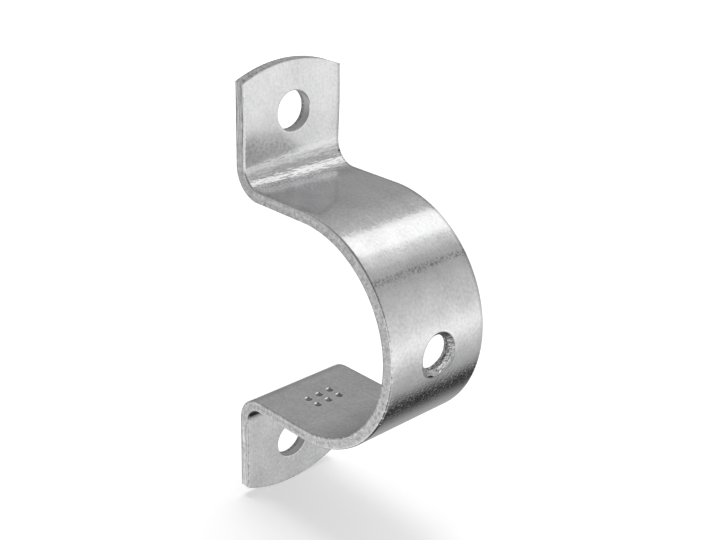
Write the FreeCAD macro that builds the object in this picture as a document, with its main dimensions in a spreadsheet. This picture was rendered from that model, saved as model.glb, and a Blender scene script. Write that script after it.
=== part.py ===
import FreeCAD, Part
import Sketcher
import math
import os

# Pipe band clamp: one flat steel strip, blanked with arched ends, punched, tapped and then
# folded into two wall tabs, two straight legs and a half round that holds a pipe to a wall.
# Millimetres. The wall is the plane Y = 0 and the strip bulges from it towards -Y. The pipe
# runs along X, Z is up, and the origin lies in the wall plane midway between the screw holes.

SIZES = {
    # Flat bar that the clamp is folded from.
    "strip_width": 50.0,
    "strip_thickness": 5.0,
    # Pipe that it holds, the play around it, and how far the fold stays short of its diameter.
    "pipe_diameter": 88.9,
    "pipe_play": 0.1,
    "grip_gap": 4.9,
    # Inside radius of the fold between a tab and a leg.
    "bend_radius": 7.5,
    # Screw hole of each tab, its distance from the leg and from the crest of the arched end.
    "screw_hole_diameter": 16.5,
    "leg_to_screw_hole": 26.0,
    "screw_hole_to_end": 20.5,
    "arched_end_radius": 60.0,
    # Tapped hole in the middle of the half round: its core and the chamfer that opens it.
    "tapped_core_diameter": 14.0,
    "tapped_chamfer": 2.0,
    # Edges that the blanking and punching tools rolled over.
    "rolled_edge_radius": 0.8,
    "punched_edge_radius": 0.4,
}

# The same derived sizes as expressions of the sheet, for the constraints.
BORE_RADIUS = "(Sizes.pipe_diameter + Sizes.pipe_play) / 2"
BORE_CENTRE = f"Sizes.pipe_diameter - Sizes.grip_gap - {BORE_RADIUS}"
SCREW_HOLE_HEIGHT = f"{BORE_RADIUS} + Sizes.strip_thickness + Sizes.leg_to_screw_hole"
END_HEIGHT = f"{SCREW_HOLE_HEIGHT} + Sizes.screw_hole_to_end"
CUTTER_HALF_WIDTH = "Sizes.strip_width / 2 + Sizes.strip_thickness"
CUTTER_TOP = f"{END_HEIGHT} + Sizes.strip_thickness"

# Where a constraint meets a piece of a sketch: its start, its end or its centre.
START, END, CENTRE = range(1, 4)
# The two axes of a sketch, counted as pieces of it.
HORIZONTAL_AXIS, VERTICAL_AXIS = range(-1, -3, -1)

# How near a point has to lie to a surface to count as on it.
ON_SURFACE = 0.001

doc = FreeCAD.newDocument("PipeBandClamp")


def write_sizes():
    """Put each driving size on its own row of the sheet, under its own name."""
    sheet = doc.addObject("Spreadsheet::Sheet", "Sizes")
    for row, (name, size) in enumerate(SIZES.items(), start=1):
        sheet.set(f"A{row}", name)
        sheet.set(f"B{row}", str(size))
        sheet.setAlias(f"B{row}", name)
    doc.recompute()
    return sheet


sizes = write_sizes()

width = float(sizes.strip_width)
thickness = float(sizes.strip_thickness)
bend = float(sizes.bend_radius)
bore = (float(sizes.pipe_diameter) + float(sizes.pipe_play)) / 2
bore_centre = float(sizes.pipe_diameter) - float(sizes.grip_gap) - bore
screw_hole_height = bore + thickness + float(sizes.leg_to_screw_hole)
end_height = screw_hole_height + float(sizes.screw_hole_to_end)
# Centre of the fold between tab and leg.
fold_depth = thickness + bend
fold_height = bore + thickness + bend


def new_sketch(body, name, plane_role):
    """Start a sketch on one of the body's own origin planes."""
    plane = next(item for item in body.Origin.OriginFeatures if item.Role == plane_role)
    sketch = body.newObject("Sketcher::SketchObject", name)
    sketch.AttachmentSupport = [(plane, "")]
    sketch.MapMode = "FlatFace"
    return sketch


def dimension(sketch, name, constraint, expression):
    """Add a named dimension that follows the sheet."""
    index = sketch.addConstraint(constraint)
    sketch.renameConstraint(index, name)
    sketch.setExpression(f"Constraints.{name}", expression)


def line(sketch, start, end):
    """Add a straight line from one (u, v) point to another."""
    return sketch.addGeometry(Part.LineSegment(FreeCAD.Vector(*start), FreeCAD.Vector(*end)))


def arc(sketch, centre, radius, start_angle, end_angle):
    """Add an arc, counter-clockwise from start to end, angles in degrees."""
    circle = Part.Circle(FreeCAD.Vector(*centre), FreeCAD.Vector(0, 0, 1), radius)
    start = math.radians(start_angle)
    end = math.radians(end_angle)
    return sketch.addGeometry(Part.ArcOfCircle(circle, start, end))


def folded_face(sketch, offset):
    """Draw one face of the folded strip, from the top tab's end to the bottom tab's end.

    The offset is 0 for the face that meets the wall and the pipe, and the strip's thickness
    for the outer face. Sketch coordinates are (Y, Z).
    """
    radius = fold_depth - offset
    level = bore + offset
    top_tab = line(sketch, (-offset, end_height), (-offset, fold_height))
    top_bend = arc(sketch, (-fold_depth, fold_height), radius, 270, 360)
    top_leg = line(sketch, (-fold_depth, level), (-bore_centre, level))
    crown = arc(sketch, (-bore_centre, 0), level, 90, 270)
    low_leg = line(sketch, (-bore_centre, -level), (-fold_depth, -level))
    low_bend = arc(sketch, (-fold_depth, -fold_height), radius, 0, 90)
    low_tab = line(sketch, (-offset, -fold_height), (-offset, -end_height))
    joints = (
        (top_tab, END, top_bend, END),
        (top_bend, START, top_leg, START),
        (top_leg, END, crown, START),
        (crown, END, low_leg, START),
        (low_leg, END, low_bend, END),
        (low_bend, START, low_tab, START),
    )
    for joint in joints:
        sketch.addConstraint(Sketcher.Constraint("Tangent", *joint))
    for tab in (top_tab, low_tab):
        sketch.addConstraint(Sketcher.Constraint("Vertical", tab))
    for leg in (top_leg, low_leg):
        sketch.addConstraint(Sketcher.Constraint("Horizontal", leg))
    return {"top_tab": top_tab, "top_bend": top_bend, "crown": crown,
            "low_bend": low_bend, "low_tab": low_tab}


def fold_strip(body):
    """The strip folded to its side profile, with square ends."""
    sketch = new_sketch(body, "fold_profile", "YZ_Plane")
    inner = folded_face(sketch, 0.0)
    outer = folded_face(sketch, thickness)
    top_end = line(sketch, (0, end_height), (-thickness, end_height))
    low_end = line(sketch, (0, -end_height), (-thickness, -end_height))
    for end, tab, corner in ((top_end, "top_tab", START), (low_end, "low_tab", END)):
        sketch.addConstraint(Sketcher.Constraint("Coincident", end, START, inner[tab], corner))
        sketch.addConstraint(Sketcher.Constraint("Coincident", end, END, outer[tab], corner))
        sketch.addConstraint(Sketcher.Constraint("Horizontal", end))
        sketch.addConstraint(Sketcher.Constraint("PointOnObject", end, START, VERTICAL_AXIS))
    for part in ("top_bend", "crown", "low_bend"):
        pair = (inner[part], CENTRE, outer[part], CENTRE)
        sketch.addConstraint(Sketcher.Constraint("Coincident", *pair))
    crown = inner["crown"]
    sketch.addConstraint(Sketcher.Constraint("PointOnObject", crown, CENTRE, HORIZONTAL_AXIS))
    dimension(sketch, "bore_radius", Sketcher.Constraint("Radius", crown, bore), BORE_RADIUS)
    dimension(sketch, "bore_centre",
              Sketcher.Constraint("DistanceX", crown, CENTRE, HORIZONTAL_AXIS, START, bore_centre),
              BORE_CENTRE)
    for place in ("top_bend", "low_bend"):
        dimension(sketch, f"{place}_radius",
                  Sketcher.Constraint("Radius", outer[place], bend), "Sizes.bend_radius")
    dimension(sketch, "thickness",
              Sketcher.Constraint("DistanceX", top_end, END, top_end, START, thickness),
              "Sizes.strip_thickness")
    dimension(sketch, "top_end_height",
              Sketcher.Constraint("DistanceY", HORIZONTAL_AXIS, START, top_end, START, end_height),
              END_HEIGHT)
    dimension(sketch, "low_end_height",
              Sketcher.Constraint("DistanceY", low_end, START, HORIZONTAL_AXIS, START, end_height),
              END_HEIGHT)
    strip = body.newObject("PartDesign::Pad", "folded_strip")
    strip.Profile = sketch
    strip.SideType = "Symmetric"
    strip.setExpression("Length", "Sizes.strip_width")
    return strip


def arch_ends(body):
    """Cut the top tab's end to its shallow arch, and the bottom tab's as its mirror image."""
    radius = float(sizes.arched_end_radius)
    half = width / 2 + thickness
    top = end_height + thickness
    centre = end_height - radius
    side_angle = math.degrees(math.acos(half / radius))
    corner = centre + radius * math.sin(math.radians(side_angle))
    sketch = new_sketch(body, "arched_end_waste", "XZ_Plane")
    arch = arc(sketch, (0, centre), radius, side_angle, 180 - side_angle)
    left = line(sketch, (-half, corner), (-half, top))
    upper = line(sketch, (-half, top), (half, top))
    right = line(sketch, (half, top), (half, corner))
    loop = ((arch, END, left, START), (left, END, upper, START),
            (upper, END, right, START), (right, END, arch, START))
    for joint in loop:
        sketch.addConstraint(Sketcher.Constraint("Coincident", *joint))
    sketch.addConstraint(Sketcher.Constraint("Vertical", left))
    sketch.addConstraint(Sketcher.Constraint("Vertical", right))
    sketch.addConstraint(Sketcher.Constraint("Horizontal", upper))
    sketch.addConstraint(Sketcher.Constraint("PointOnObject", arch, CENTRE, VERTICAL_AXIS))
    dimension(sketch, "arch_radius",
              Sketcher.Constraint("Radius", arch, radius), "Sizes.arched_end_radius")
    dimension(sketch, "arch_centre",
              Sketcher.Constraint("DistanceY", HORIZONTAL_AXIS, START, arch, CENTRE, centre),
              f"{END_HEIGHT} - Sizes.arched_end_radius")
    dimension(sketch, "waste_left",
              Sketcher.Constraint("DistanceX", left, START, HORIZONTAL_AXIS, START, half),
              CUTTER_HALF_WIDTH)
    dimension(sketch, "waste_right",
              Sketcher.Constraint("DistanceX", HORIZONTAL_AXIS, START, right, START, half),
              CUTTER_HALF_WIDTH)
    dimension(sketch, "waste_top",
              Sketcher.Constraint("DistanceY", HORIZONTAL_AXIS, START, upper, START, top),
              CUTTER_TOP)
    arched = body.newObject("PartDesign::Pocket", "arched_top_end")
    arched.Profile = sketch
    arched.SideType = "Symmetric"
    arched.Type = "ThroughAll"
    doc.recompute()
    mirrored = body.newObject("PartDesign::Mirrored", "arched_bottom_end")
    level = next(item for item in body.Origin.OriginFeatures if item.Role == "XY_Plane")
    mirrored.Originals = [arched]
    mirrored.MirrorPlane = (level, [""])
    body.Tip = mirrored
    return mirrored


def drill(body, name, places, diameter, expression):
    """Drill round holes through the strip, out from the wall plane along -Y.

    Each place is a name, a height up Z and the expression that the height follows.
    """
    doc.recompute()
    sketch = new_sketch(body, f"{name}_centres", "XZ_Plane")
    for place, height, height_expression in places:
        circle = Part.Circle(FreeCAD.Vector(0, height), FreeCAD.Vector(0, 0, 1), diameter / 2)
        ring = sketch.addGeometry(circle)
        centre = (ring, CENTRE, VERTICAL_AXIS)
        sketch.addConstraint(Sketcher.Constraint("PointOnObject", *centre))
        dimension(sketch, f"{place}_size",
                  Sketcher.Constraint("Diameter", ring, diameter), expression)
        if height == 0:
            centre = (ring, CENTRE, HORIZONTAL_AXIS)
            sketch.addConstraint(Sketcher.Constraint("PointOnObject", *centre))
            continue
        ends = ((HORIZONTAL_AXIS, START, ring, CENTRE) if height > 0
                else (ring, CENTRE, HORIZONTAL_AXIS, START))
        dimension(sketch, f"{place}_height",
                  Sketcher.Constraint("DistanceY", *ends, abs(height)), height_expression)
    doc.recompute()
    holes = body.newObject("PartDesign::Hole", name)
    holes.Profile = sketch
    holes.DepthType = "ThroughAll"
    holes.DrillPoint = "Flat"
    holes.Reversed = True
    holes.setExpression("Diameter", expression)
    doc.recompute()
    return holes


def drill_screw_holes(body):
    """One plain screw hole in each tab."""
    places = (("upper", screw_hole_height, SCREW_HOLE_HEIGHT),
              ("lower", -screw_hole_height, SCREW_HOLE_HEIGHT))
    diameter = float(sizes.screw_hole_diameter)
    return drill(body, "screw_holes", places, diameter, "Sizes.screw_hole_diameter")


def drill_tapped_hole(body):
    """The core of the tapped hole, through the middle of the half round."""
    places = (("middle", 0, None),)
    diameter = float(sizes.tapped_core_diameter)
    return drill(body, "tapped_hole", places, diameter, "Sizes.tapped_core_diameter")


def depth_in_strip(point):
    """How far a point lies from the wall and pipe side of the strip, through its thickness."""
    height = abs(point.z)
    if height > fold_height:
        return -point.y
    if point.y > -fold_depth:
        return fold_depth - math.hypot(point.y + fold_depth, height - fold_height)
    if point.y > -bore_centre:
        return height - bore
    return math.hypot(point.y + bore_centre, point.z) - bore


def edge_points(edge):
    """The start, middle and end of an edge."""
    first, last = edge.ParameterRange
    return [edge.valueAt(first + (last - first) * share) for share in (0.0, 0.5, 1.0)]


def outer_edges(shape, test):
    """Names of the edges on the strip's outer face whose three points all pass the test."""
    names = []
    for number, edge in enumerate(shape.Edges, start=1):
        points = edge_points(edge)
        on_face = all(abs(depth_in_strip(p) - thickness) < ON_SURFACE for p in points)
        if on_face and test(points):
            names.append(f"Edge{number}")
    return names


def chamfer_tapped_hole(body, hole):
    """Open the tapped hole on the outer side, where the bolt is started."""
    core = float(sizes.tapped_core_diameter) / 2

    def round_the_hole(points):
        return all(abs(math.hypot(p.x, p.z) - core) < ON_SURFACE for p in points)

    chamfer = body.newObject("PartDesign::Chamfer", "tapped_hole_chamfer")
    chamfer.Base = (hole, outer_edges(hole.Shape, round_the_hole))
    chamfer.setExpression("Size", "Sizes.tapped_chamfer")
    doc.recompute()
    return chamfer


def roll_edges(body, name, base, test, expression):
    """Round the outer edges that pass the test."""
    rolled = body.newObject("PartDesign::Fillet", name)
    rolled.Base = (base, outer_edges(base.Shape, test))
    rolled.setExpression("Radius", expression)
    doc.recompute()
    return rolled


def roll_outline(body, base):
    """Round the outline of the outer face: both long sides and both arched ends."""
    radius = float(sizes.arched_end_radius)
    centre = end_height - radius

    def on_outline(points):
        on_side = all(abs(abs(p.x) - width / 2) < ON_SURFACE for p in points)
        on_arch = all(abs(math.hypot(p.x, abs(p.z) - centre) - radius) < ON_SURFACE
                      for p in points)
        return on_side or on_arch

    return roll_edges(body, "rolled_outline", base, on_outline, "Sizes.rolled_edge_radius")


def roll_screw_holes(body, base):
    """Round the rim of each screw hole on the side that it was punched from."""
    radius = float(sizes.screw_hole_diameter) / 2

    def on_rim(points):
        return all(abs(math.hypot(p.x, abs(p.z) - screw_hole_height) - radius) < ON_SURFACE
                   for p in points)

    return roll_edges(body, "punched_rims", base, on_rim, "Sizes.punched_edge_radius")


def make_clamp_band():
    """The whole clamp: one folded strip."""
    body = doc.addObject("PartDesign::Body", "clamp_band")
    body.Label = "clamp_band"
    fold_strip(body)
    arch_ends(body)
    drill_screw_holes(body)
    tapped = drill_tapped_hole(body)
    chamfered = chamfer_tapped_hole(body, tapped)
    outlined = roll_outline(body, chamfered)
    body.Tip = roll_screw_holes(body, outlined)
    body.Placement = FreeCAD.Placement()
    return body


def check_and_write(parts):
    """Stop on any failed object or bad shape, then write one STEP file for each part."""
    doc.recompute()
    for item in doc.Objects:
        if "Invalid" in item.State or "Error" in item.State:
            raise RuntimeError(f"{item.Name} failed: {item.State}")
    os.makedirs("parts", exist_ok=True)
    for part in parts:
        if part.Shape.isNull() or not part.Shape.isValid():
            raise RuntimeError(f"{part.Label} has no valid shape")
        part.Shape.exportStep(f"parts/{part.Label}.step")
        print(part.Label, "volume", round(part.Shape.Volume, 1), "box", part.Shape.BoundBox)


check_and_write([make_clamp_band()])
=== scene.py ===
import math

import bmesh
import bpy
import numpy as np
from mathutils import Matrix, Vector


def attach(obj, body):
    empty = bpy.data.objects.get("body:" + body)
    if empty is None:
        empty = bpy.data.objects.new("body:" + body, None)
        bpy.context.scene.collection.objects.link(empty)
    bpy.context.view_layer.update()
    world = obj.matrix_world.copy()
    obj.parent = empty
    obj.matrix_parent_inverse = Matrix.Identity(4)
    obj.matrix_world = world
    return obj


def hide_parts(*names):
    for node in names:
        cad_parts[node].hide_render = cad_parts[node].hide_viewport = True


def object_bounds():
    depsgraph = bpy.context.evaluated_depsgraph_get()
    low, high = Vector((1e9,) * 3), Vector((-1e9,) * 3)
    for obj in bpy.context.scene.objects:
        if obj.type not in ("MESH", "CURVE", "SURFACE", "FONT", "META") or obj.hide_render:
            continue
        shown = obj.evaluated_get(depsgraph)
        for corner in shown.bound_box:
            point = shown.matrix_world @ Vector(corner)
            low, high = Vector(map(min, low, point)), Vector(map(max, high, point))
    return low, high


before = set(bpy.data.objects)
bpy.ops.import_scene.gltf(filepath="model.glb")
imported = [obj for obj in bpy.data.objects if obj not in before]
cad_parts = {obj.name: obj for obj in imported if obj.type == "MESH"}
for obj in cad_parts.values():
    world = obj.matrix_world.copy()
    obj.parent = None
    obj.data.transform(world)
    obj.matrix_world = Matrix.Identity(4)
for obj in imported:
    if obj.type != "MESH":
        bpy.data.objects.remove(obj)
cad_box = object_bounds()

# The strip, in millimetres. +Y goes into the wall, +Z is up, and X = 0 is the strip's middle.
MM = 0.001
WIDTH = 50.0
THICKNESS = 5.0
BORE_RADIUS = 44.5
BORE_DEPTH = 39.5
BEND_RADIUS = 7.5
TAB_END = 96.0
ARCH_RADIUS = 60.0
HALF_WIDTH = WIDTH / 2

# The edge all round is rolled on the outer face, sheared, and burred on the pipe side. The sheared part is
# given by inset and depth. The arched ends are rolled less than the long sides, by END_SHARE.
ROLLED_EDGE = 0.8
ROLLED_STEPS = 7
SHEARED_EDGE = ((0.0, 1.4), (0.0, 2.1), (0.06, 2.5), (0.09, 3.3), (0.07, 4.1))
BURR_START = 0.03
BURR_EDGE = 0.22
END_SHARE = 0.25

# The screw holes. The wall is given by extra radius and depth: a smooth land, then the wider break.
SCREW_HEIGHT = 75.5
SCREW_RADIUS = 8.25
SCREW_ROLL = 0.4
SCREW_ROLL_STEPS = 5
SCREW_WALL = ((0.0, 1.2), (0.0, 2.2), (0.06, 2.6), (0.1, 3.8), (0.12, 4.85), (0.27, THICKNESS))

# The tapped hole. The flats at the thread's crest and root are shares of its pitch.
CORE_RADIUS = 7.0
ROOT_RADIUS = 8.0
CHAMFER = 2.0
CHAMFER_ANGLE = math.radians(45)
PITCH = 2.0
CREST_FLAT = 0.25
ROOT_FLAT = 0.125
THREAD_ROWS = 60
RIM_ROLL = 0.9
RIM_ROWS = 6
SETTLE_STEPS = 20

# The punch marks. The dimple's profile is in shares of its radius and depth, and the raised lip's in shares
# of the dimple's radius and the lip's height. The lip ends at PIP_REACH. PIP_DEPTHS is how far from the wall
# the two rows are.
PIP_RADIUS = 1.7
PIP_DEPTH = 0.6
PIP_DIMPLE = ((0.22, -0.93), (0.45, -0.8), (0.7, -0.52), (0.88, -0.22), (1.0, 0.0))
PIP_LIP = 0.1
PIP_RIDGE = ((1.12, 1.0), (1.3, 0.6))
PIP_REACH = 2.6
PIP_COLUMNS = (-7, -1, 5)
PIP_DEPTHS = (23.5, 29.5)

# The upper bend's front is rounder towards the right, and the tab above it is a little crowned.
ROUNDER = 2.3
CROWNING = 0.42
CROWNED = (58.0, 94.0)

# Grey levels of the metals, and how much bluer than grey they are.
PLATE_TONE = 0.64
SHEARED_TONE = 0.64
CUT_TONE = 0.56
TAPPED_TONE = 0.62
TAPPED_DARKEST = 0.12
DARKEST = 0.02
BLUE_TRACE = 1.01

# Single marks, each with its along, across, angle, half length and half width: two painted highlights on the
# thread, painted shade standing for a nick in the tapped hole's rim, and a painted shade dot at the far end
# of the upper bend.
CREST_HIGHLIGHT = (-6.9, 3.2, 0.48, 1.6, 0.45)
SECOND_CREST_HIGHLIGHT = (-8.4, 2.2, 0.4, 0.9, 0.4)
NICK_SHADE = (-8.35, -3.4, -0.36, 1.9, 0.34)
DENT_SHADE = (112.2, 24.2, 0.0, 1.0, 0.7)

# Marks by their length along the strip. Each pair goes from where a mark is nothing to where it is full, at
# one end of it and at the other. The patch of painted shade on the upper leg has such pairs along and one
# across the strip, and TAPPED_ZONE is one both ways from the middle of the tapped hole.
PRESS_LINE = 32.9
SCUFF = ((-7.0, -13.0), (-32.0, -22.0))
WORN = ((4.0, -8.0), (-50.0, -40.0))
DRAWN = ((0.0, -20.0), (-62.0, -42.0))
DIM_SHADE = ((64.0, 80.0), (102.0, 92.0))
DIM_SHADE_ACROSS = (4.0, -14.0)
TAPPED_ZONE = (12.0, 10.0)

# Lengths along the middle of the sheet, from the crown to the end of one tab.
MID_RADIUS = BORE_RADIUS + THICKNESS / 2
MID_BEND = BEND_RADIUS + THICKNESS / 2
BEND_HEIGHT = BORE_RADIUS + THICKNESS + BEND_RADIUS
BEND_DEPTH = THICKNESS + BEND_RADIUS
ARC_END = MID_RADIUS * math.pi / 2
LEG_END = ARC_END + BORE_DEPTH - BEND_DEPTH
BEND_END = LEG_END + MID_BEND * math.pi / 2

# The grid on both faces: an even middle, where every hole has its square, and wider outer columns. PATCH and
# PIP_HALF are half the sides of the squares, and the other rows are counted stretch by stretch.
PATCH = 12
PIP_HALF = 3
EDGE_COLUMNS = 5
ARC_ROWS = 46
LEG_ROWS = 5
PIP_ROWS = 12
BEND_ROWS = 24
TAB_ROWS = 4
END_ROWS = 5
END_STRETCH = (THICKNESS - END_SHARE * ROLLED_EDGE) / (THICKNESS - ROLLED_EDGE)

# The materials of the faces, in their order on the strip.
PLATE, SHEARED, CUT = range(3)

# Where the rings of points round a hole lie, as shares of the way from its rim to its square.
SCREW_RINGS = (0.12, 0.3, 0.6, 1.0)
TAPPED_RINGS = (0.1, 0.3, 0.6, 1.0)

# Faces that meet at this angle or more have a sharp edge between them, unless both are cut.
SHARP_DEGREES = 38


def along_tab(height):
    """Length along the strip of a height on the tab."""
    return BEND_END + height - BEND_HEIGHT


def fold(along, across, depth):
    """The folded strip's point, by length from the crown, place across and depth below the outer face."""
    reach = abs(along)
    out = THICKNESS / 2 - depth
    front = 1 - depth / THICKNESS if along > 0 else 0.0
    grow = ROUNDER * (1 - (0.5 - across / WIDTH) ** 2) * front
    if reach <= ARC_END:
        angle = reach / MID_RADIUS
        y = -BORE_DEPTH - (MID_RADIUS + out) * math.cos(angle)
        z = (MID_RADIUS + out) * math.sin(angle)
    elif reach <= LEG_END - grow:
        y = reach - ARC_END - BORE_DEPTH
        z = MID_RADIUS + out
    elif reach < BEND_END + grow:
        turn = (reach - LEG_END + grow) / (BEND_END - LEG_END + 2 * grow) * math.pi / 2
        y = -BEND_DEPTH - grow + (MID_BEND - out + grow) * math.sin(turn)
        z = BEND_HEIGHT + grow - (MID_BEND - out + grow) * math.cos(turn)
    else:
        y = depth - THICKNESS
        z = BEND_HEIGHT + reach - BEND_END
        share = min(max((z - CROWNED[0]) / (CROWNED[1] - CROWNED[0]), 0.0), 1.0)
        y -= CROWNING * math.sin(share * math.pi) ** 2 * front
    return across, y, math.copysign(z, along)


class Skin:
    """Collects faces, welds the points that they share, and keeps each point's place on the flat strip."""

    def __init__(self):
        self.points, self.places, self.index = [], [], {}
        self.faces, self.looks = [], []

    def point(self, xyz, place):
        """The number of a point, which is a new one only where none lies yet."""
        key = tuple(round(v, 4) + 0.0 for v in xyz)
        if key not in self.index:
            self.index[key] = len(self.points)
            self.points.append(xyz)
            self.places.append(place)
        return self.index[key]

    def on_strip(self, along, across, depth):
        """The number of the point at a place on the strip."""
        return self.point(fold(along, across, depth), (along, across, depth))

    def face(self, corners, look):
        """Adds a face, with corners that were welded together taken once."""
        kept = [c for i, c in enumerate(corners) if c != corners[i - 1]]
        if len(kept) > 2:
            self.faces.append(kept)
            self.looks.append(look)

    def bridge(self, first, second, look):
        """Quads between two closed loops of the same length."""
        for i in range(len(first)):
            j = (i + 1) % len(first)
            self.face((first[i], first[j], second[j], second[i]), look)


def steps(start, end, count):
    """Even steps from start, without end itself."""
    return [start + (end - start) * i / count for i in range(count)]


def half_rows():
    """Lengths along one half, from the crown to the outer side of the screw hole's square."""
    far_pips = ARC_END + BORE_DEPTH - max(PIP_DEPTHS) - PIP_HALF
    near_pips = ARC_END + BORE_DEPTH - min(PIP_DEPTHS) + PIP_HALF
    square_start = along_tab(SCREW_HEIGHT - PATCH)
    square_end = along_tab(SCREW_HEIGHT + PATCH)
    rows = steps(0, PATCH, PATCH)
    rows += steps(PATCH, ARC_END, ARC_ROWS)
    rows += steps(ARC_END, far_pips, LEG_ROWS)
    rows += steps(far_pips, near_pips, PIP_ROWS)
    rows += steps(near_pips, LEG_END, LEG_ROWS)
    rows += steps(LEG_END, BEND_END, BEND_ROWS)
    rows += steps(BEND_END, square_start, TAB_ROWS)
    rows += steps(square_start, square_end, 2 * PATCH)
    return rows + [square_end]


HALF = half_rows()
ROWS = [-a for a in reversed(HALF[1:])] + HALF
LAST = len(ROWS) - 1 + 2 * END_ROWS
COLUMNS = 2 * PATCH + 2 * EDGE_COLUMNS


def across_at(column, inset):
    """X of a column line, with the outline moved in by inset."""
    x = column - PATCH - EDGE_COLUMNS
    if abs(x) <= PATCH:
        return float(x)
    share = (abs(x) - PATCH) / EDGE_COLUMNS
    return math.copysign(PATCH + share * (HALF_WIDTH - inset - PATCH), x)


def grid_place(row, column, inset):
    """Length along and across the strip of a grid point, with the outline moved in by inset."""
    across = across_at(column, inset)
    inner = row - END_ROWS
    if 0 <= inner < len(ROWS):
        return ROWS[inner], across
    beyond = -inner if inner < 0 else inner - len(ROWS) + 1
    arch = TAB_END - ARCH_RADIUS + math.sqrt((ARCH_RADIUS - END_SHARE * inset) ** 2 - across ** 2)
    start = HALF[-1]
    along = start + (along_tab(arch) - start) * beyond / END_ROWS
    return math.copysign(along, inner), across


def row_of(along):
    """The grid row at a length along the strip."""
    return END_ROWS + int(np.argmin([abs(a - along) for a in ROWS]))


def outline():
    """Grid points round the strip's outline, in order."""
    left = [(r, 0) for r in range(LAST)]
    top = [(LAST, c) for c in range(COLUMNS)]
    right = [(r, COLUMNS) for r in range(LAST, 0, -1)]
    bottom = [(0, c) for c in range(COLUMNS, 0, -1)]
    return left + top + right + bottom


def square_round(row, column, half):
    """Grid points round a square of cells about a grid point, and the angle of each seen from it."""
    ring = [(row + i, column + half) for i in range(-half, half)]
    ring += [(row + half, column - i) for i in range(-half, half)]
    ring += [(row - i, column - half) for i in range(-half, half)]
    ring += [(row - half, column + i) for i in range(-half, half)]
    return ring, [math.atan2(r - row, c - column) for r, c in ring]


def ring_points(skin, inner, outer, share, depth):
    """Points a share of the way from the places of a hole's rim to those of its square."""
    return [
        skin.on_strip(a[0] + (b[0] - a[0]) * share, a[1] + (b[1] - a[1]) * share, depth)
        for a, b in zip(inner, outer)
    ]


def patch(skin, square, rim, rim_points, depth, inset, shares, look):
    """The face between a hole's rim and the square of grid cells round it."""
    outer = [grid_place(r, c, inset) for r, c in square]
    before = rim_points
    for share in shares:
        after = ring_points(skin, rim, outer, share, depth)
        skin.bridge(before, after, look)
        before = after


def cells(skin, depth, inset, squares):
    """The face's grid, without the squares that hold a hole or a pip."""
    taken = {
        (r, c)
        for row, column, half in squares
        for r in range(row - half, row + half)
        for c in range(column - half, column + half)
    }
    for r in range(LAST):
        for c in range(COLUMNS):
            if (r, c) not in taken:
                corners = ((r, c), (r, c + 1), (r + 1, c + 1), (r + 1, c))
                skin.face([skin.on_strip(*grid_place(*k, inset), depth) for k in corners], PLATE)


def rolled_corner(radius, count):
    """Inset and depth round a quarter circle, from the face to the wall."""
    angles = [math.radians(90 * i / count) for i in range(count + 1)]
    return [(radius * (1 - math.sin(a)), radius * (1 - math.cos(a))) for a in angles]


def edge_profile():
    """Inset and depth of the sheared outline, from the outer face's rolled edge to the pipe side's burr."""
    profile = [(inset, depth, PLATE) for inset, depth in rolled_corner(ROLLED_EDGE, ROLLED_STEPS)]
    profile += [(inset, depth, SHEARED) for inset, depth in SHEARED_EDGE]
    profile.append((BURR_START, THICKNESS - BURR_EDGE, SHEARED))
    for degrees in (45, 90):
        a = math.radians(degrees)
        inset = BURR_START + (BURR_EDGE - BURR_START) * (1 - math.cos(a))
        depth = THICKNESS - BURR_EDGE * (1 - math.sin(a))
        profile.append((inset, depth, SHEARED))
    return profile


def end_depth(depth):
    """Depth down the edge of an arched end, for a depth down the edge of a long side."""
    return min(depth, ROLLED_EDGE) * END_SHARE + max(depth - ROLLED_EDGE, 0.0) * END_STRETCH


def add_outline(skin):
    """The edge all round the strip."""
    ring, before = outline(), None
    for inset, depth, look in edge_profile():
        after = []
        for row, column in ring:
            down = end_depth(depth) if row in (0, LAST) else depth
            after.append(skin.on_strip(*grid_place(row, column, inset), down))
        if before:
            skin.bridge(before, after, look)
        before = after


def add_screw_hole(skin, side):
    """A punched hole in the tab: rolled rim, smooth land, then the wider break."""
    centre = math.copysign(along_tab(SCREW_HEIGHT), side)
    square, angles = square_round(row_of(centre), EDGE_COLUMNS + PATCH, PATCH)

    def loop(radius, depth):
        places = [(centre + radius * math.sin(a), radius * math.cos(a)) for a in angles]
        return places, [skin.on_strip(*p, depth) for p in places]

    rolled = rolled_corner(SCREW_ROLL, SCREW_ROLL_STEPS)
    profile = [(SCREW_RADIUS + inset, depth, PLATE) for inset, depth in rolled]
    profile += [(SCREW_RADIUS + extra, depth, CUT) for extra, depth in SCREW_WALL]
    before = None
    for radius, depth, look in profile:
        _, after = loop(radius, depth)
        if before:
            skin.bridge(before, after, look)
        before = after
    for (radius, depth, _), inset in ((profile[0], ROLLED_EDGE), (profile[-1], BURR_EDGE)):
        places, points = loop(radius, depth)
        patch(skin, square, places, points, depth, inset, SCREW_RINGS, PLATE)


def thread_radius(y, angle):
    """Radius of a 60 degree thread at a place on the hole's wall."""
    phase = (y / PITCH + angle / (2 * math.pi)) % 1.0
    share = (abs(phase - 0.5) * 2 - CREST_FLAT) / (1 - CREST_FLAT - ROOT_FLAT)
    return CORE_RADIUS + (ROOT_RADIUS - CORE_RADIUS) * min(max(share, 0.0), 1.0)


def surface_y(radius, z):
    """Y of the half round of that radius at a height."""
    return -BORE_DEPTH - math.sqrt(radius ** 2 - z ** 2)


def crown_place(radius, face_radius, angle):
    """Place on the strip of a point of a round hole through the crown."""
    return MID_RADIUS * math.asin(radius * math.sin(angle) / face_radius), radius * math.cos(angle)


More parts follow.
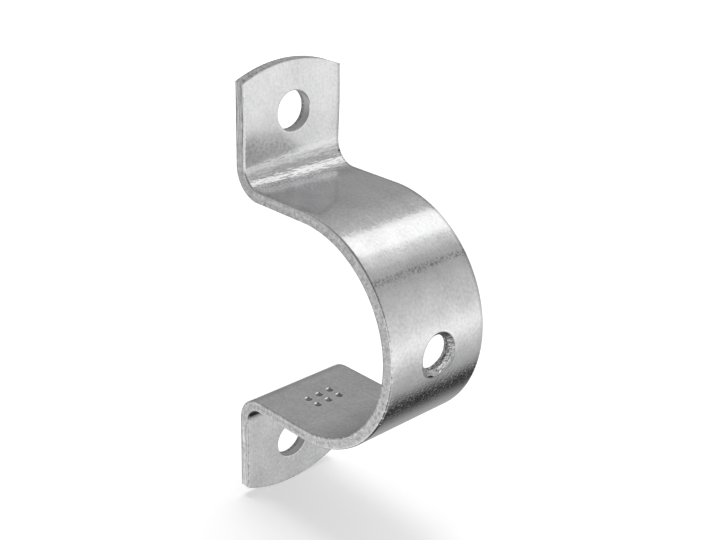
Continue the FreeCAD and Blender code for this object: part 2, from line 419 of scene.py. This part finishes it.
def tapped_wall(angle):
    """Radius and Y down the tapped hole's wall: chamfer, thread, and where it comes out in the bore."""
    outer = BORE_RADIUS + THICKNESS
    rim = CORE_RADIUS + CHAMFER
    top = surface_y(outer, rim * math.sin(angle))
    chamfer_end = surface_y(outer, CORE_RADIUS * math.sin(angle)) + CHAMFER
    bottom = surface_y(BORE_RADIUS, CORE_RADIUS * math.sin(angle))
    # Where the wall comes out depends on the thread's radius there, so the place is found in small steps.
    for _ in range(SETTLE_STEPS):
        radius = thread_radius(bottom, angle)
        bottom += 0.5 * (surface_y(BORE_RADIUS, radius * math.sin(angle)) - bottom)
    wall = []
    for i in range(RIM_ROWS):
        turn = CHAMFER_ANGLE * i / RIM_ROWS
        radius = rim + RIM_ROLL * (math.tan(CHAMFER_ANGLE / 2) - math.sin(turn))
        wall.append((radius, surface_y(outer, radius * math.sin(angle)) + RIM_ROLL * (1 - math.cos(turn))))
    start = top + RIM_ROLL * (1 - math.cos(CHAMFER_ANGLE))
    for i in range(THREAD_ROWS + 1):
        y = start + (bottom - start) * i / THREAD_ROWS
        cone = rim - CHAMFER * (y - top) / (chamfer_end - top)
        wall.append((max(cone, thread_radius(y, angle)), y))
    return wall


def add_tapped_hole(skin):
    """The hole through the crown, from its rolled rim down the chamfer and the thread to the bore."""
    square, angles = square_round(row_of(0.0), EDGE_COLUMNS + PATCH, PATCH)
    walls = [tapped_wall(a) for a in angles]
    before = None
    for i in range(len(walls[0])):
        after = []
        for wall, a in zip(walls, angles):
            radius, y = wall[i]
            xyz = (radius * math.cos(a), y, radius * math.sin(a))
            after.append(skin.point(xyz, (xyz[2], xyz[0], y + BORE_DEPTH + BORE_RADIUS + THICKNESS)))
        if before:
            skin.bridge(before, after, PLATE if i < RIM_ROWS else CUT)
        else:
            top = after
        before = after
    faces = (
        (0, BORE_RADIUS + THICKNESS, top, 0.0, ROLLED_EDGE),
        (-1, BORE_RADIUS, before, THICKNESS, BURR_EDGE),
    )
    for end, face_radius, points, depth, inset in faces:
        places = [crown_place(w[end][0], face_radius, a) for w, a in zip(walls, angles)]
        patch(skin, square, places, points, depth, inset, TAPPED_RINGS, PLATE)


def add_pip(skin, row, column):
    """A round centre punch mark with its raised lip, on the pipe side."""
    square, angles = square_round(row, column, PIP_HALF)
    along, across = grid_place(row, column, BURR_EDGE)
    rings = [(PIP_RADIUS * radius, PIP_DEPTH * rise) for radius, rise in PIP_DIMPLE]
    rings += [(PIP_RADIUS * radius, PIP_LIP * rise) for radius, rise in PIP_RIDGE]
    rings.append((PIP_REACH, 0.0))
    before = None
    for radius, rise in rings:
        places = [(along + radius * math.sin(a), across + radius * math.cos(a)) for a in angles]
        after = [skin.on_strip(*p, THICKNESS + rise) for p in places]
        if before:
            skin.bridge(before, after, PLATE)
        else:
            centre = skin.on_strip(along, across, THICKNESS - PIP_DEPTH)
            for i, a in enumerate(after):
                skin.face((centre, a, after[(i + 1) % len(after)]), PLATE)
        before = after
    patch(skin, square, places, before, THICKNESS, BURR_EDGE, (1.0,), PLATE)


def band_mesh():
    """The whole strip as one closed mesh, with each point's place on the flat strip."""
    skin = Skin()
    middle = EDGE_COLUMNS + PATCH
    tab_row = row_of(along_tab(SCREW_HEIGHT))
    holes = [(r, middle, PATCH) for r in (row_of(0.0), tab_row, LAST - tab_row)]
    pips = [
        (row_of(-(ARC_END + BORE_DEPTH - d)), middle + x, PIP_HALF)
        for d in PIP_DEPTHS
        for x in PIP_COLUMNS
    ]
    cells(skin, 0.0, ROLLED_EDGE, holes)
    cells(skin, THICKNESS, BURR_EDGE, holes + pips)
    add_outline(skin)
    for side in (1, -1):
        add_screw_hole(skin, side)
    add_tapped_hole(skin)
    for row, column, _ in pips:
        add_pip(skin, row, column)

    mesh = bpy.data.meshes.new("clamp_strip")
    mesh.from_pydata([tuple(v * MM for v in p) for p in skin.points], [], skin.faces)
    mesh.polygons.foreach_set("material_index", skin.looks)
    mesh.polygons.foreach_set("use_smooth", [True] * len(skin.faces))
    place = mesh.attributes.new("strip_place", "FLOAT_VECTOR", "POINT")
    place.data.foreach_set("vector", (np.array(skin.places) * MM).astype(np.float32).ravel())
    bm = bmesh.new()
    bm.from_mesh(mesh)
    bmesh.ops.recalc_face_normals(bm, faces=bm.faces)
    sharp = math.radians(SHARP_DEGREES)
    for edge in bm.edges:
        looks = {f.material_index for f in edge.link_faces}
        edge.smooth = edge.calc_face_angle(0.0) < sharp or looks == {CUT}
    bm.to_mesh(mesh)
    bm.free()
    mesh.update()
    return mesh


SETTINGS = ("operation", "attribute_name", "interpolation_type")
NOISE_LOW, NOISE_HIGH = 0.3, 0.7


def node(tree, kind, **values):
    """A node with its settings and inputs set. An input goes by its name, or by i and its number."""
    made = tree.nodes.new(kind)
    for name, value in values.items():
        if name in SETTINGS:
            setattr(made, name, value)
            continue
        key = int(name[1:]) if name[0] == "i" and name[1:].isdigit() else name.replace("_", " ")
        if isinstance(value, bpy.types.NodeSocket):
            tree.links.new(value, made.inputs[key])
        else:
            made.inputs[key].default_value = value
    return made


def calc(tree, operation, *values):
    """The result of a maths node."""
    inputs = {f"i{i}": value for i, value in enumerate(values)}
    return node(tree, "ShaderNodeMath", operation=operation, **inputs).outputs[0]


def product(tree, first, *others):
    """The product of several values."""
    for other in others:
        first = calc(tree, "MULTIPLY", first, other)
    return first


def smooth(tree, value, low, high, start=0.0, end=1.0):
    """Value eased from start to end as it goes from low to high."""
    made = node(
        tree, "ShaderNodeMapRange", interpolation_type="SMOOTHSTEP",
        Value=value, From_Min=low, From_Max=high, To_Min=start, To_Max=end,
    )
    return made.outputs["Result"]


def window(tree, value, first, second):
    """1 between two places, eased over a pair of numbers at each."""
    return product(tree, smooth(tree, value, *first), smooth(tree, value, *second))


def about(tree, value, middle, near, far):
    """1 up to near from the middle, eased to 0 at far from it."""
    off = calc(tree, "ABSOLUTE", calc(tree, "SUBTRACT", value, middle))
    return smooth(tree, off, near, far, 1.0, 0.0)


def blend(tree, share, first, second):
    """First where share is 0, second where it is 1."""
    return calc(tree, "MULTIPLY_ADD", share, calc(tree, "SUBTRACT", second, first), first)


def total(tree, start, *terms):
    """Start plus each amount times its pattern, which runs from 0 to 1 about 0.5."""
    value = start
    for amount, pattern in terms:
        value = calc(tree, "MULTIPLY_ADD", calc(tree, "SUBTRACT", pattern, 0.5), amount, value)
    return value


def add_each(tree, value, *terms):
    """Value plus each pattern times its amount."""
    for pattern, amount in terms:
        value = calc(tree, "MULTIPLY_ADD", pattern, amount, value)
    return value


def spread(tree, noise):
    """Noise stretched to run from 0 to 1."""
    made = node(tree, "ShaderNodeMapRange", Value=noise, From_Min=NOISE_LOW, From_Max=NOISE_HIGH)
    return made.outputs["Result"]


def noise_at(tree, vector, scale, shift, detail, roughness):
    """Noise over a vector that is scaled each way and then moved."""
    place = node(tree, "ShaderNodeVectorMath", operation="MULTIPLY", i0=vector, i1=scale)
    place = node(tree, "ShaderNodeVectorMath", operation="ADD", i0=place.outputs[0], i1=shift)
    made = node(
        tree, "ShaderNodeTexNoise", Vector=place.outputs[0], Scale=1.0, Detail=detail, Roughness=roughness
    )
    return made.outputs["Fac"]


class Metal:
    """A zinc coated surface, with patterns laid out in millimetres on the flat strip."""

    def __init__(self, name):
        self.material = bpy.data.materials.new(name)
        self.material.use_nodes = True
        self.tree = self.material.node_tree
        place = node(self.tree, "ShaderNodeAttribute", attribute_name="strip_place")
        scaled = node(
            self.tree, "ShaderNodeVectorMath", operation="SCALE", i0=place.outputs["Vector"], Scale=1 / MM
        )
        self.place = scaled.outputs[0]
        parts = node(self.tree, "ShaderNodeSeparateXYZ", i0=self.place)
        self.along, self.across, self.depth = parts.outputs[:3]

    def noise(self, along, across, depth, detail=2.0, roughness=0.5, shift=0.0):
        """Noise with so many features to the millimetre each way."""
        scale, moved = (along, across, depth), (shift, 2 * shift, 0)
        return spread(self.tree, noise_at(self.tree, self.place, scale, moved, detail, roughness))

    def lines(self, angle, across, along, width, shift):
        """Sparse hairline scratches at an angle, 1 on the line."""
        tree = self.tree
        turned = node(tree, "ShaderNodeVectorRotate", Vector=self.place, Angle=angle, Axis=(0, 0, 1))
        wave = noise_at(tree, turned.outputs[0], (along, across, 0.3), (shift, shift, shift), 1.0, 0.4)
        line = about(tree, wave, 0.5, 0.0, width)
        sparse = smooth(tree, self.noise(0.11, 0.13, 0.1, shift=shift), 0.55, 0.9)
        return product(tree, line, sparse)

    def finish(self, tone, roughness, height):
        """Connects the shader: a neutral metal of that tone, with bumps whose height is in millimetres."""
        tone = calc(self.tree, "MAXIMUM", tone, DARKEST)
        blue = calc(self.tree, "MULTIPLY", tone, BLUE_TRACE)
        colour = node(self.tree, "ShaderNodeCombineColor", i0=tone, i1=tone, i2=blue)
        bump = node(self.tree, "ShaderNodeBump", Height=height, Distance=MM, Strength=1.0)
        shader = self.tree.nodes["Principled BSDF"]
        shader.inputs["Metallic"].default_value = 1.0
        self.tree.links.new(colour.outputs[0], shader.inputs["Base Color"])
        self.tree.links.new(roughness, shader.inputs["Roughness"])
        self.tree.links.new(bump.outputs[0], shader.inputs["Normal"])
        return self.material


def spot(metal, along, across, angle, length, width):
    """A soft oval spot at a place on the strip, with its long side turned from the strip's width."""
    tree = metal.tree
    cos, sin = math.cos(angle), math.sin(angle)
    u = calc(tree, "SUBTRACT", metal.across, across)
    v = calc(tree, "SUBTRACT", metal.along, along)
    long = calc(tree, "MULTIPLY_ADD", u, cos / length, calc(tree, "MULTIPLY", v, sin / length))
    short = calc(tree, "MULTIPLY_ADD", v, cos / width, calc(tree, "MULTIPLY", u, -sin / width))
    off = calc(tree, "MULTIPLY_ADD", long, long, calc(tree, "MULTIPLY", short, short))
    return smooth(tree, off, 0.4, 1.2, 1.0, 0.0)


def press_marks(metal, mottle):
    """The dull speckled line that the press leaves across the round, with spots about it."""
    tree = metal.tree
    wander = metal.noise(0.0, 0.12, 0.0, shift=5.0)
    off = total(tree, calc(tree, "SUBTRACT", metal.along, PRESS_LINE), (0.6, wander))
    off = calc(tree, "ABSOLUTE", off)
    speckle = metal.noise(1.0, 0.8, 0.5, detail=3.0, roughness=0.7, shift=31.0)
    line = product(tree, smooth(tree, off, 0.5, 2.0, 1.0, 0.0), smooth(tree, speckle, 0.25, 0.8))
    spots = product(tree, smooth(tree, off, 1.0, 9.0, 0.8, 0.0), smooth(tree, mottle, 0.6, 0.95))
    marks = calc(tree, "MAXIMUM", line, spots)
    return product(tree, marks, smooth(tree, metal.depth, 0.6, 1.0, 1.0, 0.0))


def bend_masks(metal, outer):
    """The upper bend's tooled face and the crease at its start, a band of painted shade on the leg before it,
    and painted shade in the lower bend's hollow.
    """
    tree = metal.tree
    start = smooth(tree, metal.along, LEG_END - 3, LEG_END + 2)
    end = smooth(tree, metal.along, BEND_END - 3, BEND_END + 3, 1.0, 0.0)
    tooled = product(tree, start, end, outer)
    crease = product(tree, about(tree, metal.along, LEG_END + 1, 2, 6), outer)
    before_bend_shade = product(tree, about(tree, metal.along, LEG_END - 4, 2, 6), outer)
    hollow_shade = product(tree, about(tree, metal.along, -(LEG_END + BEND_END) / 2, 3.0, 9.0), outer)
    return tooled, crease, before_bend_shade, hollow_shade


def side_masks(metal, outer):
    """The outer face along both long sides, the pipe side's rim there, and a painted shade strip along the
    far side above the hole.
    """
    tree = metal.tree
    side = calc(tree, "ABSOLUTE", metal.across)
    edge = product(tree, smooth(tree, side, HALF_WIDTH - 1.2, HALF_WIDTH - 0.5), outer)
    inner = calc(tree, "SUBTRACT", 1.0, outer)
    rim = product(tree, smooth(tree, side, HALF_WIDTH - 1.0, HALF_WIDTH - 0.4), inner)
    far = smooth(tree, metal.across, HALF_WIDTH - 2.4, HALF_WIDTH - 0.8)
    far = product(tree, far, outer, smooth(tree, metal.along, -5.0, 15.0))
    return edge, rim, far


def tapped_rim_masks(metal, rolled, outer):
    """The rolled rim of the tapped hole: painted shade on its lower part, and a painted highlight on its
    upper part on the far side.
    """
    tree = metal.tree
    reach = calc(tree, "ABSOLUTE", metal.along)
    side = calc(tree, "ABSOLUTE", metal.across)
    rim = product(tree, rolled, smooth(tree, reach, *TAPPED_ZONE), smooth(tree, side, *TAPPED_ZONE), outer)
    low = product(tree, rim, smooth(tree, metal.along, 4.0, -1.0))
    high = product(tree, rim, smooth(tree, metal.along, 2.0, 6.0), smooth(tree, metal.across, -1.0, 3.0))
    return low, high


def plate_height(metal, mottle, pits, tears):
    """Bumps of the rolled faces: an orange peel, strongest on the round, with pits and tears added."""
    tree = metal.tree
    reach = calc(tree, "ABSOLUTE", metal.along)
    peel = blend(tree, smooth(tree, reach, ARC_END, ARC_END + 12), 1.0, 0.4)
    dimple = metal.noise(0.55, 0.4, 0.4, detail=2.0, roughness=0.55, shift=17.0)
    tooled = metal.noise(0.5, 0.22, 0.5, detail=1.0, roughness=0.5, shift=41.0)
    height = product(tree, peel, total(tree, 0.0, (0.004, mottle), (0.012, dimple)))
    return add_each(tree, height, pits, (tooled, tears))


def zinc_plate():
    """The rolled faces: a mottle, soft clouds, rolling lines and scratches, and marks of press and wear, with
    painted shade in places and painted highlights along some edges and rims.
    """
    metal = Metal("zinc_plate")
    tree = metal.tree
    cloud = metal.noise(0.07, 0.09, 0.1, detail=3.0)
    mottle = metal.noise(0.75, 0.75, 0.75, detail=3.0, roughness=0.6, shift=7.0)
    grain = metal.noise(0.12, 2.2, 0.5, shift=3.0)
    pitted = metal.noise(1.0, 0.9, 0.5, detail=2.0, roughness=0.6, shift=53.0)
    scratch = metal.lines(0.5, 1.1, 0.05, 0.010, 11.0)
    scratch = calc(tree, "MAXIMUM", scratch, metal.lines(-0.9, 0.9, 0.06, 0.008, 23.0))
    marks = press_marks(metal, mottle)

    # The outer half of the thickness, and what lies below the flat of the outer face.
    outer = smooth(tree, metal.depth, 1.0, 2.5, 1.0, 0.0)
    rolled = smooth(tree, metal.depth, 0.01, 0.12)
    # The band before the upper bend and the lower bend's hollow get painted shade.
    bend, crease, before_bend_shade, hollow_shade = bend_masks(metal, outer)
    # The far side above the hole gets a strip of painted shade.
    edge, rim, far = side_masks(metal, outer)
    # The tapped hole's rolled rim gets painted shade low down and a painted highlight high on the far side.
    low_rim_shade, high_rim_highlight = tapped_rim_masks(metal, rolled, outer)
    on_tab = product(tree, smooth(tree, metal.along, BEND_END - 6, BEND_END + 2), outer)
    # A painted highlight along the tabs' rolled near edge.
    tab_edge_highlight = product(tree, rolled, on_tab, smooth(tree, metal.across, HALF_WIDTH - 3, HALF_WIDTH - 6))
    # Painted shade standing for a nick in the tapped hole's rim.
    nick_shade = product(tree, spot(metal, *NICK_SHADE), outer)
    # A painted shade dot at the far end of the upper bend.
    dent_shade = product(tree, spot(metal, *DENT_SHADE), outer)
    # A patch of painted shade on the near half of the upper leg.
    dim_shade = product(tree, window(tree, metal.along, *DIM_SHADE), smooth(tree, metal.across, *DIM_SHADE_ACROSS), outer)
    scuff = product(tree, window(tree, metal.along, *SCUFF), outer)
    worn = smooth(tree, metal.across, 0.9 - HALF_WIDTH, 0.5 - HALF_WIDTH)
    worn = product(tree, window(tree, metal.along, *WORN), worn, outer)
    # The punch marks' hollows get painted shade, and are rougher.
    pip = smooth(tree, metal.depth, THICKNESS - 0.3, THICKNESS - 0.08, 1.0, 0.0)
    pip = product(tree, pip, smooth(tree, metal.depth, 2.0, 2.5))
    specks = product(tree, scuff, smooth(tree, pitted, 0.6, 0.95))
    # Chips on the worn near edge of the low round: rougher, with painted glints.
    chips_and_glints = smooth(tree, metal.noise(0.8, 0.4, 0.4, detail=1.0, shift=71.0), 0.5, 0.8)
    chips_and_glints = product(tree, chips_and_glints, worn)

    reach = calc(tree, "ABSOLUTE", metal.along)
    # The base tone, a little darker on the tabs.
    base_tone = smooth(tree, reach, BEND_END - 3, BEND_END + 6, PLATE_TONE, PLATE_TONE - 0.05)
    tone = total(tree, base_tone, (0.1, cloud), (0.16, mottle), (0.04, grain))
    tone = add_each(
        tree, tone,
        (scratch, 0.03), (marks, -0.32), (pip, -0.4), (rim, -0.08), (tab_edge_highlight, 0.08), (far, -0.2),
        (before_bend_shade, -0.08), (low_rim_shade, -0.3), (high_rim_highlight, 0.1), (nick_shade, -1.0), (hollow_shade, -0.3), (dent_shade, -0.4),
        (dim_shade, -0.09), (chips_and_glints, 0.4),
    )
    rough = total(tree, 0.19, (0.04, cloud), (0.08, mottle), (0.03, grain))
    rough = add_each(
        tree, rough,
        (marks, 0.12), (scratch, 0.05), (bend, 0.05), (crease, 0.04), (pip, 0.24), (on_tab, 0.04),
        (specks, 0.2), (chips_and_glints, 0.35),
    )

    # The edges are torn less where they are worn.
    edge = product(tree, edge, calc(tree, "MULTIPLY_ADD", worn, -0.04, 0.06))
    tears = calc(tree, "MAXIMUM", product(tree, bend, 0.14), edge)
    height = plate_height(metal, mottle, (pitted, product(tree, scuff, 0.035)), tears)
    return metal.finish(tone, rough, height)


def sheared_zinc():
    """The sheared edges: tears across the thickness, speckle, and streaks along the tabs and low round."""
    metal = Metal("sheared_zinc")
    tree = metal.tree
    tears = metal.noise(1.0, 0.6, 0.3, detail=3.0, roughness=0.6)
    streaks = metal.noise(0.14, 1.0, 1.3, detail=2.0, shift=9.0)
    speckle = metal.noise(0.7, 0.7, 0.7, detail=3.0, roughness=0.7, shift=13.0)
    drawn = metal.noise(0.35, 1.0, 2.0, detail=3.0, roughness=0.6, shift=27.0)
    reach = calc(tree, "ABSOLUTE", metal.along)
    on_tab = smooth(tree, reach, BEND_END - 2, BEND_END + 3)
    low_round = window(tree, metal.along, *DRAWN)
    tone = total(tree, SHEARED_TONE, (0.2, tears), (0.36, speckle))
    tone = add_each(tree, tone, (low_round, total(tree, 0.0, (0.44, drawn))))
    tone = blend(tree, on_tab, tone, total(tree, SHEARED_TONE + 0.08, (0.5, streaks), (0.3, speckle)))

    # The edge is darker towards the burr, and has a line of painted shade under the tabs' rolled edge.
    burr = smooth(tree, metal.depth, THICKNESS - 0.8, THICKNESS - 0.4)
    burr_shade = smooth(tree, reach, BEND_END - 2, BEND_END + 3, -0.14, -0.34)
    under_shade = product(tree, about(tree, metal.depth, 1.3, 0.2, 0.6), on_tab)
    tone = add_each(tree, tone, (burr, burr_shade), (under_shade, -0.16))
    rough = total(tree, 0.4, (0.08, speckle), (0.04, tears))
    height = total(tree, 0.0, (0.04, tears), (0.06, speckle))
    return metal.finish(tone, rough, height)


def punched_tone(metal, turned):
    """Tone of the screw holes' walls: turned lines, and a darker ragged break below them."""
    tree = metal.tree
    tears = metal.noise(1.0, 1.0, 0.5, detail=3.0, roughness=0.65, shift=19.0)
    ragged = smooth(tree, metal.depth, 2.8, 3.6)
    tone = total(tree, CUT_TONE + 0.05, (0.1, turned))
    return add_each(tree, tone, (ragged, total(tree, -0.19, (0.4, tears))))


def tapped_tone(metal, flecks, crest_highlight):
    """Tone of the tapped hole's wall: flecks, painted shade on the upper part of the far side, painted
    highlights on two crests, and painted shade for the nick.
    """
    tree = metal.tree
    tone = total(tree, TAPPED_TONE, (0.9, flecks))
    shaded = product(tree, smooth(tree, metal.along, 2.5, 6.5), smooth(tree, metal.across, -3.0, 1.0))
    tone = product(tree, tone, calc(tree, "MULTIPLY_ADD", shaded, -0.5, 1.0))
    tone = calc(tree, "MAXIMUM", tone, TAPPED_DARKEST)
    # Painted highlights on two crests, and painted shade standing for the nick.
    return add_each(tree, tone, (crest_highlight, 0.8), (spot(metal, *NICK_SHADE), -1.5))


def cut_zinc():
    """Hole walls, with turned lines, and the thread, with uneven crests and painted highlights on two of
    them.
    """
    metal = Metal("cut_zinc")
    tree = metal.tree
    flecks = metal.noise(0.75, 0.75, 0.3, detail=3.0, roughness=0.65)
    turned = metal.noise(0.1, 0.1, 2.4, detail=2.0, shift=5.0)
    # Two painted highlights on the thread's crests, which are also smoother there.
    crest_highlight = calc(tree, "MAXIMUM", spot(metal, *CREST_HIGHLIGHT), spot(metal, *SECOND_CREST_HIGHLIGHT))
    tapped = smooth(tree, calc(tree, "ABSOLUTE", metal.along), 12.0, 20.0, 1.0, 0.0)
    tone = blend(tree, tapped, punched_tone(metal, turned), tapped_tone(metal, flecks, crest_highlight))
    rough = blend(tree, tapped, 0.55, total(tree, 0.3, (0.1, flecks)))
    rough = add_each(tree, rough, (crest_highlight, -0.14))
    rugged = product(tree, tapped, calc(tree, "MULTIPLY_ADD", crest_highlight, -0.4, 0.4))
    height = add_each(tree, total(tree, 0.0, (0.01, turned)), (rugged, flecks))
    return metal.finish(tone, rough, height)


strip = bpy.data.objects.new("clamp_strip", band_mesh())
bpy.context.scene.collection.objects.link(strip)
for material in (zinc_plate(), sheared_zinc(), cut_zinc()):
    strip.data.materials.append(material)
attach(strip, "root")
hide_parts("clamp_band")

# Camera, in millimetres from the frame's origin.
CAMERA = (-301.56, -354.36, 209.57)
CAMERA_AZIMUTH = 44.18
CAMERA_ELEVATION = 23.687
CAMERA_ROLL = 1.524
LENS = 60.485
SENSOR = 36.0


def add_camera():
    """The camera, from its place, its angles and its lens."""
    az, el = math.radians(CAMERA_AZIMUTH), math.radians(CAMERA_ELEVATION)
    roll = math.radians(CAMERA_ROLL)
    back = Vector((-math.sin(az) * math.cos(el), -math.cos(az) * math.cos(el), math.sin(el)))
    level = Vector((math.cos(az), -math.sin(az), 0))
    rise = back.cross(level)
    right = math.cos(roll) * level + math.sin(roll) * rise
    up = math.cos(roll) * rise - math.sin(roll) * level
    data = bpy.data.cameras.new("camera")
    data.lens = LENS
    data.sensor_width = SENSOR
    data.sensor_fit = "HORIZONTAL"
    data.clip_start = 0.01
    camera = bpy.data.objects.new("camera", data)
    turn = Matrix((right, up, back)).transposed().to_4x4()
    camera.matrix_world = Matrix.Translation(Vector(CAMERA) * MM) @ turn
    bpy.context.scene.collection.objects.link(camera)
    bpy.context.scene.camera = camera


add_camera()

# The object's middle and the floor under its lowest point, in metres.
MIDDLE = Vector((0.0, -0.04, 0.0))
FLOOR = cad_box[0][2]

# Brightness of the studio round the pipe's axis, by degrees from straight up, counted forwards. The bands are
# long soft boxes and dark gaps that lie along X.
STUDIO_BANDS = (
    (-180, 0.08), (-172, 0.26), (-160, 0.42), (-148, 0.46), (-115, 0.37), (-85, 0.33), (-60, 0.43),
    (-40, 0.48), (-22, 0.60), (0, 0.64), (26, 0.62), (42, 0.51), (55, 0.64), (75, 0.81), (92, 1.0),
    (103, 1.27), (112, 1.27), (120, 1.0), (130, 0.77), (150, 0.54), (157, 0.31), (164, 0.05),
    (174, 0.02), (180, 0.06),
)
RAMP_SCALE = 2.0

# Brightness past the bands' ends, and how far along X a direction points where they end.
ENDS = 0.58
ENDS_EDGE = (0.78, 0.96)

# A card low on the camera's side, with three levels from the top down, and a brighter one at that side's end.
# The pairs say which directions they cover, each from where the card is nothing to where it is full.
LOW_CARD = (0.7, 0.3, 1.15)
LOW_CARD_X, LOW_CARD_Y, LOW_CARD_Z = (-0.1, -0.4), (0.1, 0.4), (0.15, -0.15)
LOW_CARD_STEPS = ((-0.24, -0.36), (-0.38, -0.54))
SIDE_CARD = 1.5
SIDE_CARD_X, SIDE_CARD_Z = (-0.8, -0.9), (-0.1, -0.35)

# The room is darker about the camera, and shows the metal white straight behind the object.
CAMERA_SIDE = Vector((-0.75, -0.33, 0.58)).normalized()
CAMERA_SIDE_EDGE = (0.55, 0.92)
CAMERA_SIDE_DARK = 0.6
BACKDROP = Vector((0.62, 0.65, -0.43)).normalized()
BACKDROP_EDGE = (0.96, 0.99)

# The floor's own brightness for the camera rises from FLOOR_LIFT to 1 over FLOOR_FADE, in metres.
WHITE = (1, 1, 1, 1)
FLOOR_COLOUR = (0.8, 0.8, 0.8, 1)
FLOOR_LIFT = 0.4
FLOOR_FADE = (0.3, 1.4)
FLOOR_REACH = 12.0


def band_light(tree, y, z):
    """Brightness of the bands, from the angle round the X axis. The ramp holds each level halved."""
    angle = calc(tree, "ARCTAN2", calc(tree, "MULTIPLY", y, -1.0), z)
    turn = calc(tree, "MULTIPLY_ADD", angle, 0.5 / math.pi, 0.5)
    made = node(tree, "ShaderNodeValToRGB", Fac=turn)
    ramp = made.color_ramp
    ramp.interpolation = "CARDINAL"
    for i, (degrees, level) in enumerate(STUDIO_BANDS):
        place = degrees / 360 + 0.5
        if i < 2:
            stop = ramp.elements[i]
            stop.position = place
        else:
            stop = ramp.elements.new(place)
        half = level / RAMP_SCALE
        stop.color = (half, half, half, 1)
    return calc(tree, "MULTIPLY", made.outputs[0], RAMP_SCALE)


def with_cards(tree, light, x, y, z):
    """Light with the two cards laid over it."""
    high, middle, low = LOW_CARD
    upper_step, lower_step = LOW_CARD_STEPS
    card = product(tree, smooth(tree, x, *LOW_CARD_X), smooth(tree, z, *LOW_CARD_Z))
    card = product(tree, card, smooth(tree, y, *LOW_CARD_Y))
    level = smooth(tree, z, *upper_step, high, middle)
    level = calc(tree, "ADD", level, smooth(tree, z, *lower_step, 0.0, low - middle))
    light = blend(tree, card, light, level)
    card = product(tree, smooth(tree, x, *SIDE_CARD_X), smooth(tree, z, *SIDE_CARD_Z))
    return blend(tree, card, light, SIDE_CARD)


def facing(tree, direction, way):
    """How nearly a direction points one way, 1 where it does."""
    made = node(tree, "ShaderNodeVectorMath", operation="DOT_PRODUCT", i0=direction, i1=way)
    return made.outputs["Value"]


def add_world():
    """The studio that the metal shows, and plain white behind the picture."""
    world = bpy.data.worlds.new("studio")
    world.use_nodes = True
    tree = world.node_tree
    tree.nodes.clear()
    direction = tree.nodes.new("ShaderNodeTexCoord").outputs["Generated"]
    x, y, z = node(tree, "ShaderNodeSeparateXYZ", i0=direction).outputs[:3]
    aside = smooth(tree, calc(tree, "ABSOLUTE", x), *ENDS_EDGE)
    light = blend(tree, aside, band_light(tree, y, z), ENDS)
    light = with_cards(tree, light, x, y, z)
    about_camera = facing(tree, direction, CAMERA_SIDE)
    light = product(tree, light, smooth(tree, about_camera, *CAMERA_SIDE_EDGE, 1.0, 1.0 - CAMERA_SIDE_DARK))
    ray = tree.nodes.new("ShaderNodeLightPath").outputs
    mirrored = calc(tree, "MAXIMUM", ray["Is Glossy Ray"], ray["Is Transmission Ray"])
    mirrored = product(tree, mirrored, smooth(tree, facing(tree, direction, BACKDROP), *BACKDROP_EDGE))
    seen = calc(tree, "MAXIMUM", ray["Is Camera Ray"], mirrored)
    strength = calc(tree, "MAXIMUM", light, seen)
    shader = node(tree, "ShaderNodeBackground", Color=WHITE, Strength=strength)
    node(tree, "ShaderNodeOutputWorld", Surface=shader.outputs[0])
    bpy.context.scene.world = world


def add_box(name, direction, distance, width, height, level):
    """A soft box that faces the object. Its level is the brightness of its face."""
    data = bpy.data.lights.new(name, "AREA")
    data.shape = "RECTANGLE"
    data.size, data.size_y = width, height
    data.energy = level * math.pi * width * height
    lamp = bpy.data.objects.new(name, data)
    way = Vector(direction).normalized()
    lamp.location = MIDDLE + way * distance
    side = way.cross(Vector((0, 1, 0))).normalized()
    rise = way.cross(side)
    lamp.rotation_euler = Matrix((side, rise, way)).transposed().to_euler()
    bpy.context.scene.collection.objects.link(lamp)
    return lamp


def floor_paper():
    """Pale paper, with a brightness of its own for the camera only, which rises to white far off."""
    material = bpy.data.materials.new("floor_paper")
    material.use_nodes = True
    tree = material.node_tree
    tree.nodes.clear()
    paper = node(tree, "ShaderNodeBsdfDiffuse", Color=FLOOR_COLOUR)
    seen = tree.nodes.new("ShaderNodeLightPath").outputs["Is Camera Ray"]
    place = tree.nodes.new("ShaderNodeNewGeometry").outputs["Position"]
    away = node(tree, "ShaderNodeVectorMath", operation="LENGTH", i0=place).outputs["Value"]
    lift = product(tree, seen, smooth(tree, away, *FLOOR_FADE, FLOOR_LIFT, 1.0))
    lit = node(tree, "ShaderNodeEmission", Color=WHITE, Strength=lift)
    both = node(tree, "ShaderNodeAddShader", i0=paper.outputs[0], i1=lit.outputs[0])
    node(tree, "ShaderNodeOutputMaterial", Surface=both.outputs[0])
    return material


def add_floor():
    """A pale floor that keeps the shadow. The metal shows the studio instead of it."""
    mesh = bpy.data.meshes.new("floor")
    corners = [(-FLOOR_REACH, -FLOOR_REACH), (FLOOR_REACH, -FLOOR_REACH)]
    corners += [(FLOOR_REACH, FLOOR_REACH), (-FLOOR_REACH, FLOOR_REACH)]
    mesh.from_pydata([(x, y, FLOOR) for x, y in corners], [], [(0, 1, 2, 3)])
    mesh.materials.append(floor_paper())
    floor = bpy.data.objects.new("floor", mesh)
    bpy.context.scene.collection.objects.link(floor)
    floor.visible_glossy = False


add_world()
add_floor()
add_box("overhead_box", (0.638, -0.04, 0.768), distance=3.0, width=2.6, height=0.98, level=0.86)
add_box("overhead_fill", (0.638, -0.26, 0.72), distance=3.1, width=2.6, height=0.7, level=0.25)
top_box = add_box("top_box", (0.05, 0.1, 1.0), distance=3.0, width=1.7, height=1.7, level=4.2)
top_box.visible_glossy = False

bpy.context.scene.view_settings.view_transform = "Standard"
